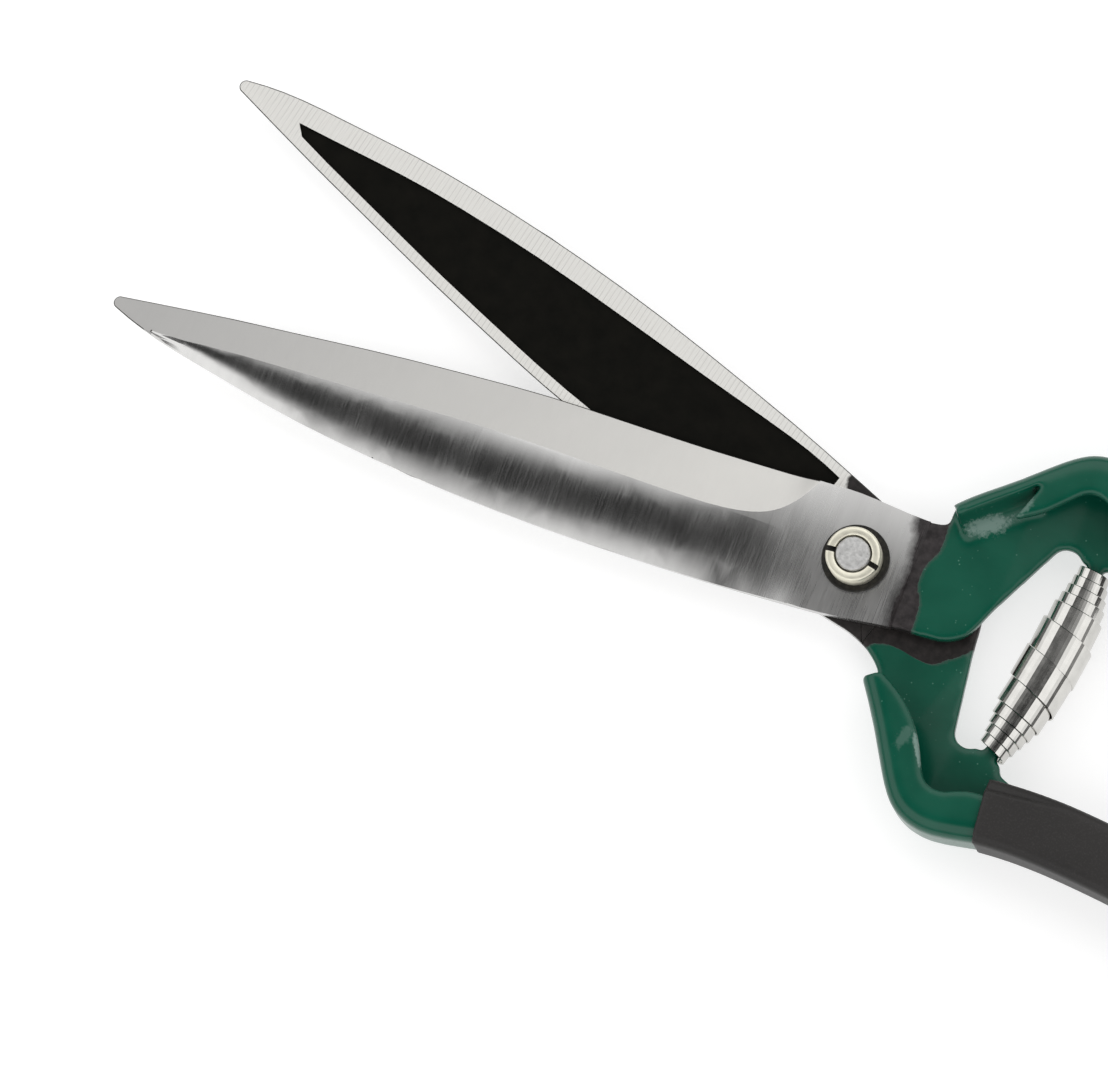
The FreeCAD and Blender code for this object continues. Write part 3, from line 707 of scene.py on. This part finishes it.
def springAxis(share):
    seat, middle = Vector((*spring["seat"], 0)), Vector((*spring["middle"], 0))
    far = Vector((seat.x, -seat.y, 0))
    place = (1 - share) ** 2 * seat + 2 * share * (1 - share) * middle + share ** 2 * far
    along = (2 * (1 - share) * (middle - seat) + 2 * share * (far - middle)).normalized()
    return place + Vector((0, 0, spring["level"])), along


def between(values, at):
    low = min(int(at), len(values) - 2)
    before = values[max(low - 1, 0)]
    after = values[min(low + 2, len(values) - 1)]
    start, end = values[low], values[low + 1]
    share = at - low
    slopeStart, slopeEnd = (end - before) / 2, (after - start) / 2
    if low == 0:
        slopeStart = end - start
    if low == len(values) - 2:
        slopeEnd = end - start
    cubed, squared = share ** 3, share ** 2
    return ((2 * cubed - 3 * squared + 1) * start + (cubed - 2 * squared + share) * slopeStart
            + (3 * squared - 2 * cubed) * end + (cubed - squared) * slopeEnd)


def makeSpring():
    turns = len(spring["centres"]) - 1
    total = 2 * spring["centres"][-1]
    wide, thick, edge = spring["width"] / 2, spring["thick"] / 2, spring["thick"] / 3
    section = [(wide - edge, thick), (wide, thick - edge), (wide, edge - thick), (wide - edge, -thick),
               (edge - wide, -thick), (-wide, edge - thick), (-wide, thick - edge), (edge - wide, thick)]
    bm = bmesh.new()
    corner = bm.verts.layers.int.new("corner")   # an extrusion hands it on
    bmesh.ops.create_circle(bm, cap_ends=True, radius=1, segments=len(section))
    for index, vert in enumerate(bm.verts):
        vert[corner] = index
    end = bm.faces[:]
    for step in range(2 * turns * spring["steps"] + 1):
        turn = step / spring["steps"]
        at = min(turn, 2 * turns - turn)
        centre, radius = between(spring["centres"], at), between(spring["radii"], at)
        if turn > turns:
            centre = total - centre
        angle = math.radians(spring["startAngle"]) - 2 * math.pi * turn
        if step:
            made = bmesh.ops.extrude_face_region(bm, geom=end)["geom"]
            end = [item for item in made if isinstance(item, bmesh.types.BMFace)]
        for vert in end[0].verts:
            across, outward = section[vert[corner]]
            place, along = springAxis((centre + across) / total)
            out = Vector((-along.y, along.x, 0)) * math.cos(angle) + Vector((0, 0, 1)) * math.sin(angle)
            vert.co = place + out * (radius - thick + outward)
    bmesh.ops.recalc_face_normals(bm, faces=bm.faces)
    smoothFaces(bm, 28)
    toMetres(bm)
    piece = newPiece("volute_strip", bm, None, "bright_plating", "volute_spring")
    piece.data.materials.append(brightPlating("spring_strip", (0.66, 0.65, 0.62), 0.08, 0.16, 0.5))
    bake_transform(piece)


makeSpring()
print("spring done")

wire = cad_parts["locking_bail"]
wire.data.materials[0] = brightPlating("bail_plating", (0.72, 0.72, 0.71), 0.22, 0.34, 0.5)

floorMesh = bmesh.new()
bmesh.ops.create_grid(floorMesh, x_segments=1, y_segments=1, size=3.0)
floor = newObject("floor", floorMesh)
material, tree, shader = startMaterial("pale_floor")
where = rowCoords(tree)
pale = mixColor(tree, noiseOf(tree, where, 0.01, 2), (0.52, 0.52, 0.52), (0.54, 0.54, 0.54))
plug(tree, shader, Base_Color=pale, Roughness=0.9, Specular_IOR_Level=0.1,
     Emission_Color=(1.0, 1.0, 1.0), Emission_Strength=0.60)
floor.data.materials.append(material)

studio = {"bright": 1.30, "dark": 0.02, "gapMiddle": 0.05, "gapEdge": (0.15, 0.35), "gapEnd": (0.45, 0.75),
          "lowDark": 0.12, "lowStart": 0.12, "lowEnd": 0.42}
world = bpy.data.worlds.new("studio")
bpy.context.scene.world = world
world.use_nodes = True
tree = world.node_tree
sky = addNode(tree, "ShaderNodeTexCoord").outputs["Generated"]
spread = addNode(tree, "ShaderNodeSeparateXYZ", {0: sky})
height = maths(tree, "MAXIMUM", spread.outputs[2], 0.05)
lean = maths(tree, "DIVIDE", spread.outputs[1], height)
reach = maths(tree, "ABSOLUTE", maths(tree, "DIVIDE", spread.outputs[0], height))
away = maths(tree, "ABSOLUTE", maths(tree, "SUBTRACT", lean, studio["gapMiddle"]))
lit = maths(tree, "MAXIMUM", remap(tree, away, *studio["gapEdge"]), remap(tree, reach, *studio["gapEnd"]))
boxes = remap(tree, lit, 0, 1, studio["dark"], studio["bright"])   # a dark gap between two long soft boxes
low = remap(tree, spread.outputs[2], studio["lowStart"], studio["lowEnd"], studio["lowDark"], 1.0)
boxes = maths(tree, "MULTIPLY", boxes, low)
seen = addNode(tree, "ShaderNodeLightPath").outputs["Is Camera Ray"]
strength = maths(tree, "MAXIMUM", boxes, seen)
tree.links.new(strength, tree.nodes["Background"].inputs[1])
tree.nodes["Background"].inputs[0].default_value = (1.0, 1.0, 1.0, 1.0)

camera = bpy.data.cameras.new("camera")
camera.lens = 706.7
camera.sensor_width = 36
camera.clip_end = 100
cameraObject = bpy.data.objects.new("camera", camera)
bpy.context.collection.objects.link(cameraObject)
cameraObject.location = (-0.91765, 0.56865, 4.87129)
cameraObject.rotation_euler = [math.radians(angle) for angle in (11.053, 6.817, -150.061)]
bpy.context.scene.camera = cameraObject
bpy.context.scene.view_settings.view_transform = "Standard"
